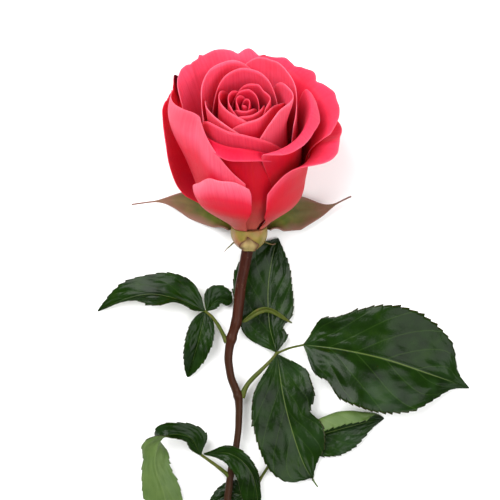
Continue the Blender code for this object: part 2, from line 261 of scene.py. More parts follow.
def leafLook(name, face):
    m = Nodes(name)
    across, along = m.uv()
    side = m.fromMidrib(across)
    slanted = m.maths("SUBTRACT", along, m.maths("MULTIPLY", side, leafVeins["slant"]))
    phase = m.maths("MULTIPLY", slanted, leafVeins["count"])
    off = m.maths("ABSOLUTE", m.maths("SUBTRACT", m.maths("FRACT", m.maths("ADD", phase, 20.5)), 0.5))
    lateral = m.maths("SUBTRACT", 1.0, m.maths("MINIMUM", m.maths("MULTIPLY", off, 20.0), 1.0))
    middle = m.maths("SUBTRACT", 1.0, m.maths("MINIMUM", m.maths("MULTIPLY", side, 48.0), 1.0))
    vein = m.maths("MAXIMUM", m.maths("MULTIPLY", lateral, 0.6), middle)
    place = m.objectPlace()
    cloudy = m.noise(place, 120.0, 4.0)
    net = m.add("ShaderNodeTexVoronoi", feature="DISTANCE_TO_EDGE")
    net.inputs["Scale"].default_value = 620.0
    m.link(place, net.inputs["Vector"])
    mesh = m.maths("MINIMUM", m.maths("MULTIPLY", net.outputs["Distance"], 7.0), 1.0)
    if face == "top":
        dark, middling, light = (0.002, 0.008, 0.0002), (0.005, 0.019, 0.0004), (0.012, 0.032, 0.001)
        colour = m.ramp(cloudy, [(0.3, dark), (0.6, middling), (0.85, light)])
        # pale grey-green patches: painted sheen standing in for glossy highlights
        paintedSheen = m.spread(m.noise(place, 48.0, 3.0), 0.54, 0.72)
        colour = m.mix(m.maths("MULTIPLY", paintedSheen, 0.07), colour, (0.10, 0.18, 0.10))
        colour = m.mix(m.maths("MULTIPLY", lateral, 0.16), colour, (0.06, 0.12, 0.02))
        colour = m.mix(m.maths("MULTIPLY", middle, 0.6), colour, (0.12, 0.17, 0.04))
        rim = m.maths("GREATER_THAN", side, 0.98)
        colour = m.mix(m.maths("MULTIPLY", rim, 0.35), colour, (0.045, 0.03, 0.01))
        m.shader.inputs["Roughness"].default_value = 0.23
        m.shader.inputs["Specular IOR Level"].default_value = 0.1
    else:
        colour = m.ramp(cloudy, [(0.3, (0.042, 0.084, 0.010)), (0.8, (0.075, 0.125, 0.020))])
        colour = m.mix(m.maths("MULTIPLY", vein, 0.4), colour, (0.12, 0.17, 0.045))
        m.shader.inputs["Roughness"].default_value = 0.62
    m.link(colour, m.shader.inputs["Base Color"])
    relief = m.maths("SUBTRACT", m.maths("MULTIPLY", mesh, 0.35), m.maths("MULTIPLY", vein, 0.8))
    m.bump(relief, 0.25, 0.0002)
    return m.material


def barkLook(name, stops, spots, roughness=0.42, aged=None):
    m = Nodes(name)
    place = m.objectPlace()
    streaks = m.noise(m.stretch(place, (520.0, 60.0, 520.0)), 1.0, 4.0, 0.6)
    colour = m.ramp(streaks, stops)
    dots = m.noise(place, 900.0, 2.0)
    dot = m.maths("GREATER_THAN", dots, 0.66)
    colour = m.mix(m.maths("MULTIPLY", dot, 0.5), colour, spots)
    if aged:
        # older bark towards the cut end
        height = m.add("ShaderNodeSeparateXYZ")
        m.link(place, height.inputs[0])
        old = m.spread(height.outputs["Y"], 0.055, 0.0)
        colour = m.mix(m.maths("MULTIPLY", old, 0.75), colour, aged)
    m.link(colour, m.shader.inputs["Base Color"])
    m.shader.inputs["Roughness"].default_value = roughness
    m.shader.inputs["Specular IOR Level"].default_value = 0.1
    m.bump(m.maths("ADD", streaks, m.maths("MULTIPLY", dots, 0.5)), 0.4, 0.0003)
    return m.material


def greenLook(name, body, edgeColour, edgeFrom, roughness, blush=None):
    # green flesh that browns towards its edges and its tip
    m = Nodes(name)
    across, along = m.uv()
    side = m.fromMidrib(across)
    place = m.objectPlace()
    cloudy = m.noise(place, 260.0, 4.0)
    colour = m.ramp(cloudy, [(0.3, body[0]), (0.7, body[1])])
    if blush:
        patch = m.spread(m.noise(place, 110.0, 2.0), 0.48, 0.62)
        colour = m.mix(m.maths("MULTIPLY", patch, 0.75), colour, blush)
    far = m.maths("MAXIMUM", side, m.maths("MULTIPLY", along, 1.02))
    brown = m.spread(m.maths("ADD", far, m.maths("MULTIPLY", cloudy, 0.12)), edgeFrom, 1.05)
    colour = m.mix(brown, colour, edgeColour)
    m.link(colour, m.shader.inputs["Base Color"])
    m.shader.inputs["Roughness"].default_value = roughness
    m.shader.inputs["Specular IOR Level"].default_value = 0.2
    fine = m.noise(m.stretch(m.bladeMap(), (60.0, 6.0, 1.0)), 1.0, 3.0)
    m.bump(m.maths("ADD", fine, m.maths("MULTIPLY", cloudy, 0.5)), 0.4, 0.0003)
    return m.material


looks = dict(
    petalOuter=petalLook("petalOuter", "outer"),
    petalInner=petalLook("petalInner", "inner"),
    leafTop=leafLook("leafTop", "top"),
    leafUnder=leafLook("leafUnder", "under"),
    stem=barkLook(
        "stemBark",
        stops=[
            (0.25, (0.018, 0.003, 0.001)), (0.55, (0.036, 0.006, 0.002)), (0.8, (0.060, 0.016, 0.005)),
        ],
        spots=(0.10, 0.05, 0.025), aged=(0.024, 0.011, 0.004),
    ),
    cut=barkLook(
        "cutWood",
        stops=[(0.3, (0.30, 0.34, 0.14)), (0.7, (0.46, 0.44, 0.24))],
        spots=(0.24, 0.22, 0.10), roughness=0.6,
    ),
    stalk=barkLook(
        "leafStalk",
        stops=[
            (0.3, (0.034, 0.054, 0.004)), (0.6, (0.060, 0.070, 0.010)), (0.85, (0.09, 0.045, 0.015)),
        ],
        spots=(0.12, 0.08, 0.03),
    ),
    sepal=greenLook(
        "sepalSkin",
        body=((0.045, 0.070, 0.003), (0.095, 0.105, 0.006)), blush=(0.11, 0.045, 0.014),
        edgeColour=(0.20, 0.10, 0.075), edgeFrom=0.45, roughness=0.6,
    ),
    hip=greenLook(
        "hipSkin",
        body=((0.15, 0.13, 0.020), (0.26, 0.18, 0.040)), blush=(0.30, 0.11, 0.06),
        edgeColour=(0.22, 0.16, 0.05), edgeFrom=0.95, roughness=0.42,
    ),
    bract=greenLook(
        "bractSkin",
        body=((0.24, 0.20, 0.06), (0.36, 0.26, 0.11)),
        edgeColour=(0.07, 0.012, 0.010), edgeFrom=0.55, roughness=0.6,
    ),
)
print("materials made")


# a petal, sepal or leaf: a grid bent by pointAt, then given its thickness
def blade(name, pointAt, across, along, thick, faces, tints=None):
    mesh = bpy.data.meshes.new(name)
    bm = bmesh.new()
    bmesh.ops.create_grid(bm, x_segments=across, y_segments=along, size=0.5)
    uv = bm.loops.layers.uv.new("blade")
    for face in bm.faces:
        face.smooth = True
        for loop in face.loops:
            loop[uv].uv = (loop.vert.co.x + 0.5, loop.vert.co.y + 0.5)
    layers = {key: bm.verts.layers.float.new(key) for key in tints or {}}
    for vertex in bm.verts:
        u, v = 2 * vertex.co.x, vertex.co.y + 0.5
        for key, layer in layers.items():
            vertex[layer] = tints[key](u, v)
        vertex.co = pointAt(u, v) * mm
    bm.to_mesh(mesh)
    bm.free()
    for look in faces:
        mesh.materials.append(looks[look])
    piece = bpy.data.objects.new(name, mesh)
    bpy.context.scene.collection.objects.link(piece)
    shell = piece.modifiers.new("thickness", "SOLIDIFY")
    shell.thickness = thick * mm
    shell.offset = 0
    if len(faces) > 1:
        shell.material_offset = 1
    return piece


def tube(name, pointAt, facets, along, look, capLook=None):
    # a grid rolled up on itself, its seam joined and both ends closed
    mesh = bpy.data.meshes.new(name)
    bm = bmesh.new()
    bmesh.ops.create_grid(bm, x_segments=facets, y_segments=along, size=0.5)
    uv = bm.loops.layers.uv.new("blade")
    for face in bm.faces:
        for loop in face.loops:
            loop[uv].uv = (loop.vert.co.x + 0.5, loop.vert.co.y + 0.5)
    for vertex in bm.verts:
        vertex.co = pointAt(vertex.co.x + 0.5, vertex.co.y + 0.5) * mm
    bmesh.ops.remove_doubles(bm, verts=bm.verts, dist=1e-6)
    caps = bmesh.ops.holes_fill(bm, edges=[e for e in bm.edges if e.is_boundary], sides=0)["faces"]
    for face in bm.faces:
        face.smooth = True
    for face in caps:
        face.smooth = False
        face.material_index = 1 if capLook else 0
    bmesh.ops.recalc_face_normals(bm, faces=bm.faces)
    bm.to_mesh(mesh)
    bm.free()
    mesh.materials.append(looks[look])
    if capLook:
        mesh.materials.append(looks[capLook])
    piece = bpy.data.objects.new(name, mesh)
    bpy.context.scene.collection.objects.link(piece)
    return piece


def barPoint(route, radiusAt, turn, t):
    middle = spline(route, t)
    ahead = (spline(route, t + 0.004) - spline(route, t - 0.004)).normalized()
    side = ahead.cross(Vector((0, 0, 1))).normalized()
    up = side.cross(ahead)
    angle = 2 * math.pi * turn
    return middle + (side * math.cos(angle) + up * math.sin(angle)) * radiusAt(t, turn)


made = []


def place(piece, node, slotName):
    made.append(piece)
    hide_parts(node)


# az, span, profile, start and end are those of the solids. wave is the rim's unevenness (amount,
# count), tip draws its middle up, and rolls are places where it curls (out, lift, where, how wide).
# pink is how pink the petal is, partly its own tone and partly painted shade, kept low on petals
# that lie in shade; reach how fast its colour deepens below the rim (partly painted shade), sink lays
# its left side closer, and rimShade paints shade on bits of curled rim (where, how wide).
petals = {
    "petal_01": dict(
        az=250, span=150, wave=(0.1, 2), tip=0.0, pink=0.0,
        profile=[(0.6, 0), (2.0, 20), (2.2, 42), (1.0, 59)],
    ),
    "petal_02": dict(
        az=30, span=130, wave=(0.15, 2), tip=0.3, pink=0.0,
        profile=[(0.9, 0), (3.0, 20), (3.3, 42), (2.1, 60)],
    ),
    "petal_03": dict(
        az=160, span=120, wave=(0.15, 2), tip=0.2, pink=0.05,
        profile=[(1.2, 0), (4.0, 20), (4.4, 42), (3.2, 61)],
    ),
    "petal_04": dict(
        az=275, span=115, wave=(0.1, 2), tip=0.0, pink=0.1,
        profile=[(1.5, 0), (5.0, 20), (5.6, 42), (4.3, 59.5)],
    ),
    "petal_05": dict(
        az=60, span=110, wave=(0.2, 2), tip=0.4, pink=0.1,
        profile=[(1.8, 0), (5.95, 20), (6.65, 42), (5.4, 61.5)],
    ),
    "petal_06": dict(
        az=175, span=105, wave=(0.2, 3), tip=0.3, pink=0.15,
        profile=[(2.1, 0), (7.1, 19), (7.9, 41), (6.4, 62)],
    ),
    "petal_07": dict(
        az=300, span=100, wave=(0.2, 2), tip=0.0, pink=0.2,
        profile=[(2.4, 0), (8.1, 19), (9.05, 40), (7.5, 60.5)],
    ),
    "petal_08": dict(
        az=35, span=100, wave=(0.25, 3), tip=0.5, pink=0.25, rolls=[(1.8, 0.3, -0.42, 0.2)],
        profile=[(2.65, 0), (9.15, 19), (10.35, 40), (8.3, 62.5)],
    ),
    "petal_09": dict(
        az=205, span=95, after=(0.1, 3.4), wave=(0.2, 2), tip=0.2, pink=0.45,
        profile=[(2.9, 0), (10.15, 18), (11.65, 39), (9.8, 64)],
    ),
    "petal_10": dict(
        az=308, span=86, wave=(0.15, 2), tip=0.0, pink=0.4, rolls=[(5.0, 0.5, 0.95, 0.28)],
        profile=[(3.2, 0), (11.1, 18), (12.8, 38), (11.0, 61.5)],
    ),
    "petal_11": dict(
        az=84, span=93, wave=(0.2, 2), tip=0.3, pink=0.6, reach=1.2,
        profile=[(3.5, 0), (12.2, 18), (14.0, 38), (12.2, 65.5)],
    ),
    "petal_12": dict(
        az=207, span=82, before=(0.26, 2.6), start=(0, -2), wave=(0.3, 3), tip=0.2, pink=0.75,
        rolls=[(0.5, -3.0, -0.95, 0.35)],
        profile=[(3.8, 0), (13.1, 17), (14.95, 36), (15.5, 63.5)],
    ),
    "petal_13": dict(
        az=350, span=70, wave=(0.2, 3), tip=0.0, pink=0.7, rolls=[(3.4, -0.5, 0.1, 0.3)],
        profile=[(4.1, 0), (14.0, 17), (15.9, 36), (15.9, 65.5)],
    ),
    "petal_14": dict(
        az=133, span=77, wave=(0.25, 3), tip=0.3, pink=1.0, reach=0.5,
        profile=[(4.35, 0), (15.0, 16), (17.3, 35), (17.0, 66)],
    ),
    "petal_15": dict(
        az=259, span=68, start=(-0.4, 2), end=(0, -6), wave=(0.15, 2), tip=0.0, pink=0.15,
        profile=[(4.65, 0), (15.8, 15), (18.2, 33), (18.9, 64)],
    ),
    "petal_16": dict(
        az=40, span=66, wave=(0.3, 3), tip=0.4, pink=0.9, reach=0.6,
        profile=[(4.9, 0), (16.6, 15), (18.8, 32), (20.0, 48), (20.6, 65)],
    ),
    "petal_17": dict(
        az=264, span=64, claw=0.6, start=(-2, -3), end=(-1.5, -11), wave=(0.3, 3), tip=0.0,
        pink=0.0, reach=1.4, rolls=[(0.9, -4.0, -0.15, 0.5)],
        profile=[(5.5, 0), (17.5, 14), (19.9, 30), (21.0, 45), (21.9, 57), (24.2, 55)],
    ),
    "petal_18": dict(
        az=335, span=50, full=0.7, start=(1, 1.5), wave=(0.5, 3), tip=0.0, pink=0.5, reach=1.4,
        sink=1.4,
        profile=[(5.8, 0), (18.3, 13), (21.1, 28), (22.5, 44), (25.6, 56), (29.4, 54)],
    ),
    "petal_19": dict(
        az=121, span=54, end=(1, 0.5), wave=(0.7, 2), tip=0.0, pink=0.8, reach=0.55,
        rolls=[
            (0.9, 0.5, 0.1, 0.03), (1.7, 0.6, -0.72, 0.1), (-0.9, -0.6, -0.53, 0.06),
            (0.5, 0, 0.5, 0.07), (-2.2, 0, 0.95, 0.3), (-0.8, 0, 0.33, 0.04),
        ],
        profile=[(5.5, 0), (18.2, 13), (20.9, 27), (22.6, 42), (26.0, 54), (30.4, 59.5)],
    ),
    "petal_20": dict(
        az=40, span=58, start=(3, -1), wave=(0.8, 2.5), tip=0.0, pink=0.25,
        rolls=[
            (1.2, 0.3, 0.45, 0.08), (-1.1, 0, 0.28, 0.05), (1.4, 0, 0.05, 0.09),
            (-1.2, 0, -0.12, 0.05), (1.3, 0, -0.36, 0.1),
        ],
        profile=[(5.8, 0), (18.7, 12), (22.0, 25), (24, 40), (29.8, 50.5), (35.8, 52.5)],
    ),
    "petal_21": dict(
        az=216, span=52, full=0.3, claw=0.45, before=(0.04, 3.4), after=(0.5, 1.0), start=(8, -2),
        wave=(0.35, 3), tip=0.0, pink=1.0, redRim=0.5,
        profile=[(6.4, 0), (18.9, 12), (21.8, 22), (23.2, 34), (23.6, 45), (22.8, 56), (20.8, 66)],
    ),
    "petal_22": dict(
        az=338, span=50, full=0.2, claw=0.6, before=(0.55, 1.9), wave=(0.9, 3), tip=0.0, pink=0.3,
        reach=1.3,
        profile=[(6.65, 0), (20.3, 12), (23.6, 24), (25.6, 34), (29.5, 42), (38.5, 45.5)],
    ),
    "petal_23": dict(
        az=85, span=46, full=0.3, wave=(0.8, 3), tip=0.0, pink=0.7,
        rolls=[(0.5, 3.6, -0.12, 0.13)], rimShade=[(-0.1, 0.3)],
        profile=[(6.4, 0), (20.6, 11), (24.2, 23), (27, 36), (33, 45), (39, 46)],
    ),
    "petal_24": dict(
        az=240, span=33, full=0.45, claw=0.7, before=(0.14, 3.4), start=(-0.6, -7), end=(0, 2),
        wave=(0.2, 2), tip=0.0, pink=1.0,
        profile=[(7.2, 0), (20.3, 11), (23.7, 19.5), (25.5, 28), (26.4, 37)],
    ),
    "petal_25": dict(
        az=158, span=28, full=0.3, before=(0.3, 3.4), after=(0.3, 3.4), wave=(0.8, 4), tip=0.0,
        pink=0.0, reach=0.35,
        rolls=[
            (-1.0, 8.5, -0.8, 0.3), (1.6, 1.5, -0.45, 0.1), (-1.0, -2.0, -0.62, 0.07),
            (1.2, 0.5, -0.85, 0.1),
        ],
        rimShade=[(-0.95, 0.12), (-0.5, 0.14)],
        profile=[(7.0, 0), (22.0, 10.5), (29, 18), (32, 29), (33, 41), (33, 53)],
    ),
}


def petalPoint(p, u, v):
    fall, power = p.get("after" if u > 0 else "before", (0.16, 3.4))
    share = v * (1 - fall * abs(u) ** power)
    radius, height = spline(p["profile"], share)
    claw = p.get("claw", 0.32)
    width = claw + (1 - claw) * smooth(share / p.get("full", 0.4))
    width *= 1 - 0.12 * smooth((share - 0.7) / 0.3)
    side = p.get("end" if u > 0 else "start", (0, 0))
    grow = smooth((share - 0.25) / 0.6) * smooth(abs(u) / 0.8)
    radius += side[0] * grow
    height += side[1] * grow
    # uneven rim, a little different on every petal
    amount, count = p["wave"]
    nearRim = smooth((v - 0.62) / 0.38) ** 2
    seed = 0.37 * p["az"]
    slow = noise.noise(Vector((count * u, seed, 0.4 * v)))
    quick = noise.noise(Vector((2.6 * count * u, seed + 7, v)))
    radius += 1.6 * amount * nearRim * (slow + 0.2 * quick)
    lifted = noise.noise(Vector((1.2 * count * u, seed + 19, 0)))
    height += 1.5 * amount * nearRim * (lifted + 0.15 * quick)
    height -= 0.6 * (1 - smooth(v / 0.05))
    height += p["tip"] * bump(u - 0.1, 0.12) * smooth((v - 0.8) / 0.2)
    for out, lift, at, wide in p.get("rolls", []):
        hang = smooth((v - 0.8) / 0.2) * bump(u - at, wide)
        radius += out * hang
        height += lift * hang
    # a side that lies so close on its neighbour that it leaves no line
    radius -= p.get("sink", 0) * smooth((-u - 0.5) / 0.5) * bump(v - 0.5, 0.3)
    # soft cupping so that no face is a plain cone
    radius += 0.35 * math.sin(math.pi * v) * noise.noise(Vector((1.3 * u, 1.6 * v, seed + 31)))
    return around(p["az"] + p["span"] * width * u, radius, height)


heartSpan, heartReach = 80, 3.2  # petals this wide in degrees are heart petals
deepestRed = 0.3  # where along a petal its colour is deepest
petalThickness = 0.26
petalRows = dict(standing=48, outer=76)


def petalTints(p):
    def pink(u, v):
        # pinker towards the rim and darker lower down: partly painted shade
        paling = 0.6 + 0.4 * smooth((v - 0.4) / 0.4)
        return p["pink"] * paling - p.get("redRim", 0) * smooth((v - 0.72) / 0.25)

    def rimShade(u, v):
        # painted shade on bits of curled rim
        ragged = 0.5 + noise.noise(Vector((9 * u, 5 * v, p["az"])))
        places = sum(bump(u - at, wide) for at, wide in p.get("rimShade", []))
        return places * smooth((v - 0.9 + 0.1 * ragged) / 0.08)

    def depth(u, v):
        # the hidden foot of a heart petal is long, so its colours crowd up to the rim; the dark
        # colours this brings into the heart are partly painted shade
        reach = p.get("reach", heartReach if p["span"] > heartSpan else 1.0)
        return max(min(v, deepestRed), 1 - (1 - v) * reach)

    return dict(pink=pink, rimShade=rimShade, depth=depth)


for name, p in petals.items():
    rows = petalRows["outer" if len(p["profile"]) > 4 else "standing"]
    faces = ["petalInner", "petalOuter"]
    bent = partial(petalPoint, p)
    piece = blade("rosePetal" + name[-2:], bent, rows, rows, petalThickness, faces, petalTints(p))
    place(piece, name, "petal")
print("petals made")


# outline is foot width, where it is widest, where it starts to narrow and how long the taper is
sepals = {
    "sepal_left": dict(
        width=5.6, twist=-70, outline=(0.2, 0.5, 0.52, 0.34),
        route=[
            (156, 8.4, -2.9), (143, 14.8, -0.9), (146.4, 25.4, 3.2), (159.4, 36.1, 5.8),
            (167.2, 50.2, 4.9),
        ],
    ),
    "sepal_right": dict(
        width=6.9, twist=70, outline=(0.2, 0.55, 0.5, 0.38),
        route=[
            (22, 8.4, -2.8), (31.4, 13.9, -1.3), (29.6, 21.7, 1.4), (19.3, 33, 3.2),
            (12.3, 43.4, 8.7),
        ],
    ),
    "sepal_back": dict(
        width=4.2, twist=0,
        route=[(88, 8.3, -2.6), (88, 10.0, -5.5), (88, 10.8, -9.5), (88, 10.2, -14), (88, 9.0, -19.5)],
    ),
    "bract_front": dict(
        width=3.6, twist=0,
        route=[(270, 5.3, -10.0), (270, 7.3, -7.8), (269, 8.05, -5.2), (266, 8.3, -3.0)],
    ),
}


def sepalPoint(s, u, v):
    azimuth, radius, height = spline(s["route"], v)
    foot, widest, narrows, taper = s.get("outline", (0.62, 0.3, 0.3, 0.7))
    swell = foot + (1 - foot) * smooth(v / widest)
    half = s["width"] * swell * (1 - smooth((v - narrows) / taper)) + 0.5 - 0.2 * v
    centre = around(azimuth, radius, height)
    ahead = around(*spline(s["route"], v + 0.02)) - around(*spline(s["route"], v - 0.02))
    ahead.normalize()
    a = math.radians(azimuth)
    side = flowerTurn @ Vector((math.sin(a), -math.cos(a), 0))
    side = (side - ahead * side.dot(ahead)).normalized()
    side = Matrix.Rotation(math.radians(s["twist"]) * smooth(v / 0.35), 3, ahead) @ side
    up = side.cross(ahead)
    keel = 0.4 * bump(u, 0.12) + 0.9 * u * u
    ruffle = 0.5 * abs(u) ** 2 * math.sin(9 * v + 2 * u)
    return centre + side * half * u + up * (keel + ruffle) * smooth(v / 0.1) * (half / s["width"])


for name, s in sepals.items():
    look, thick = ("bract", 0.4) if name == "bract_front" else ("sepal", 0.5)
    bent = partial(sepalPoint, s)
    piece = blade(name.replace("_", ""), bent, across=16, along=60, thick=thick, faces=[look])
    place(piece, name, "sepal")

hip = dict(
    profile=[
        (0.0, -0.8), (6.6, -0.8), (7.3, -1.6), (7.6, -3.4), (7.3, -5.4), (6.3, -7.6), (4.6, -9.4),
        (2.9, -10.5), (0.0, -10.8),
    ],
)


def hipPoint(turn, v):
    radius, height = spline(hip["profile"], v)
    lump = 1 + 0.02 * math.sin(10 * math.pi * turn) + 0.012 * math.sin(26 * math.pi * turn + 1)
    return around(360 * turn, max(radius, 0.01) * lump, height)


place(tube("hip", hipPoint, facets=48, along=40, look="hip"), "receptacle", "receptacle")

bristles = {
    "bristle_left": [(186, 5.6, -6.8), (192, 9.0, -9.6), (196, 10.6, -11.0)],
    "bristle_right": [(353, 5.8, -6.8), (350, 9.4, -8.0), (348, 11.2, -7.6)],
}


def bristleRadius(t, turn):
    return 0.34 - 0.22 * t


for name, route in bristles.items():
    points = [around(*p) for p in route]
    bar = partial(barPoint, points, bristleRadius)
    piece = tube(name.replace("_", ""), bar, facets=10, along=12, look="sepal")
    place(piece, name, "sepal")
print("sepals and receptacle made")

stem = dict(
    route=[
        (-1.0, 0.0, 10.6), (-3.7, -14.0, 8.6), (-5.4, -28.3, 7.9), (-7.9, -37.5, 7.2),
        (-9.0, -45.0, 6.6), (-7.8, -53.4, 6.1),
        (-5.0, -60.8, 5.7), (-4.6, -68.0, 5.4), (-5.2, -78.0, 5.0), (-7.1, -89.0, 4.6),
        (-8.8, -99.0, 4.2), (-10.0, -113.0, 3.7),
        (-10.0, -130.0, 3.2), (-9.0, -155.0, 2.6), (-7.5, -184.0, 2.1), (-7.0, -213.0, 1.5),
    ],
    radii=[2.4, 2.2, 2.1, 1.85, 1.7, 1.65, 1.75, 1.55, 1.45, 1.5, 1.55, 1.5, 1.5, 1.5, 1.5, 1.5],
    swellings=[(0.195, 0.35), (0.40, 0.4), (0.615, 0.35), (0.765, 0.3), (0.145, 0.18)],
    cut=dict(start=0.985, length=0.015, slant=1.1),
)


def stemRadius(t, turn):
    radius = spline([(r, 0) for r in stem["radii"]], t)[0]
    for at, much in stem["swellings"]:
        radius += much * bump(t - at, 0.012)
    ribs = 0.03 * math.sin(4 * math.pi * turn + 9 * t)
    return radius * (1 + ribs + 0.02 * math.sin(120 * t + 2 * math.pi * turn))


def stemPoint(turn, t):
    point = barPoint(stem["route"], stemRadius, turn, t)
    cut = stem["cut"]
    if t > cut["start"]:
        endHeight = stem["route"][-1][2]
        point.y += (point.z - endHeight) * cut["slant"] * smooth((t - cut["start"]) / cut["length"])
    return point


place(tube("roseStem", stemPoint, facets=28, along=420, look="stem", capLook="cut"), "stem", "stem")
print("stem made")

# edges are the half widths in mm from base to tip, left side then right side looking along the leaf
leaflets = {
    "leaflet_1a": dict(
        width=8.5, tilt=24, fold=12, wave=(0.3, 3, 0.2), teeth=15,
        route=[
            (-18.9, -25.5, 5.4), (-29, -20.8, 8.5), (-41.6, -18.3, 8.5), (-54.3, -21.3, 5.0),
            (-63.8, -25.6, 0.4),
        ],
        edges=(
            [0.2, 2.0, 1.6, 2.0, 5.2, 5.2, 2.4, 1.0, 0.8, 0.6, 0.2],
            [0.2, 5.4, 8.8, 9.8, 9.6, 8.2, 7.5, 6.4, 4.8, 2.5, 0.2],
        ),
    ),
    "leaflet_1b": dict(
        width=6.6, tilt=-8, fold=14, wave=(0.3, 2, 1.2), teeth=11,
        route=[(-18.7, -26.0, 5.3), (-20.8, -35.4, 6.0), (-23.4, -44.7, 4.5), (-26.0, -53.2, 1.5)],
    ),
    "leaflet_1c": dict(
        width=4.6, tilt=10, fold=12, wave=(0.2, 2, 2.2), teeth=8,
        route=[(-18.2, -25.2, 5.2), (-13.0, -20.6, 3.2), (-7.6, -21.8, 2.4)],
        edges=(
            [0.2, 3.0, 5.0, 6.2, 6.6, 6.3, 5.7, 5.0, 4.2, 3.0, 0.4],
            [0.2, 1.4, 2.1, 2.4, 2.2, 1.8, 1.7, 1.8, 2.0, 1.8, 0.3],
        ),
    ),
    "leaflet_2a": dict(
        width=10.4, tilt=0, fold=5, wave=(0.25, 3, 0.7), teeth=16,
        route=[
            (11.0, -42.6, 4.4), (8.2, -31.4, 2.6), (7.6, -16.8, 1.6), (9.2, -4.2, 1.2),
            (11.7, 5.0, 1.0),
        ],
        edges=(
            [0.3, 6.0, 10.6, 12.6, 13.8, 14.6, 14.6, 12.6, 9.6, 5.2, 0.2],
            [0.3, 6.2, 5.3, 9.6, 10.6, 10.1, 9.2, 7.9, 5.8, 3.2, 0.2],
        ),
    ),
    "leaflet_2b": dict(
        width=15.4, tilt=-4, fold=8, wave=(0.6, 3, 1.7), teeth=20, twist=150, turnAt=(0.87, 0.06),
        route=[
            (11.2, -43.6, 4.5), (13.8, -60.4, 6.5), (17.5, -75.0, 7.0), (22.4, -89.2, 4.0),
            (28.4, -99.4, 0.9),
        ],
        edges=(
            [0.4, 10.6, 12.4, 12.6, 9.4, 12.3, 12.1, 9.8, 4.9, 0.9, 0.2],
            [0.4, 6.4, 11.8, 14.2, 15.2, 15.4, 15.1, 13.8, 9.8, 1.1, 0.2],
        ),
    ),
    "leaflet_2c": dict(
        width=22.5, tilt=-4, fold=8, wave=(0.8, 3, 2.7), teeth=26,
        route=[
            (22.4, -39.5, 5.5), (37.4, -41.2, 9.0), (56.1, -45.3, 10.0), (75.1, -51.8, 6.0),
            (91.9, -57.9, 0.4),
        ],
        edges=(
            [0.3, 10.8, 12.9, 17.0, 20.7, 22.6, 22.2, 19.6, 14.8, 4.8, 0.2],
            [0.3, 11.0, 13.8, 20.0, 21.6, 22.2, 20.6, 17.2, 10.2, 3.0, 0.2],
        ),
    ),
    "leaflet_3a": dict(
        width=11.5, tilt=30, fold=10, twist=150, bend=1.2, wave=(0.3, 3, 0.5), teeth=17,
        route=[
            (-20.6, -85.4, 5.6), (-25.5, -77.5, 10.0), (-36.0, -77.5, 12.5), (-39.5, -88.0, 10.5),
            (-36.0, -101.0, 7.0), (-32.5, -116.0, 1.0),
        ],
        edges=(
            [0.3, 3.2, 2.8, 2.8, 4.2, 6.0, 5.0, 7.0, 8.6, 6.5, 0.3],
            [0.3, 5.8, 5.2, 4.6, 5.4, 7.0, 6.0, 6.2, 7.0, 6.0, 0.3],
        ),
    ),
    "leaflet_3b": dict(
        width=7.4, tilt=10, fold=10, wave=(0.3, 3, 1.5), teeth=14,
        route=[
            (-19.2, -85.0, 6.2), (-8.5, -84.4, 10.5), (-0.5, -90.5, 10.5), (2.9, -101.0, 8.0),
            (3.6, -119.0, 1.0),
        ],
        edges=(
            [0.2, 1.6, 3.2, 3.8, 3.4, 2.9, 2.6, 1.8, 1.5, 1.2, 0.2],
            [0.2, 1.8, 3.6, 5.0, 5.7, 6.1, 6.5, 6.8, 6.0, 4.0, 0.2],
        ),
    ),
    "leaflet_4a": dict(
        width=13.0, tilt=8, fold=14, wave=(0.4, 3, 2.5), teeth=16, lap=(-1, 0.57),
        route=[(17.0, -81.4, 1.8), (29.2, -77.5, 2.2), (41.8, -74.0, 2.4), (56.2, -70.6, 0.8)],
        edges=(
            [0.3, 6.0, 10.0, 12.0, 13.5, 14.5, 14.5, 13.0, 10.0, 5.0, 0.2],
            [0.3, 4.2, 7.2, 8.8, 9.8, 10.2, 9.6, 7.8, 4.8, 2.2, 0.2],
        ),
    ),
    "leaflet_4b": dict(
        width=6.4, tilt=0, fold=4, wave=(0.2, 2, 0.9), teeth=10,
        route=[(-0.6, -103.4, 1.4), (-8.0, -102.4, 0.9), (-17.5, -107.0, 0.8)],
    ),
}


leafThickness = 0.38
widestLeaf = 22.5  # mm, half width; smaller leaflets get finer relief and teeth


def leafOutline(v):
    return 2.3 * (v + 0.004) ** 0.55 * max(1.01 - v, 0) ** 0.8 * (1 - 0.2 * v)


def halfWidth(leaf, u, v):
    if "edges" not in leaf:
        return leaf["width"] * leafOutline(v)
    return spline([(w, 0) for w in leaf["edges"][u > 0]], v)[0]


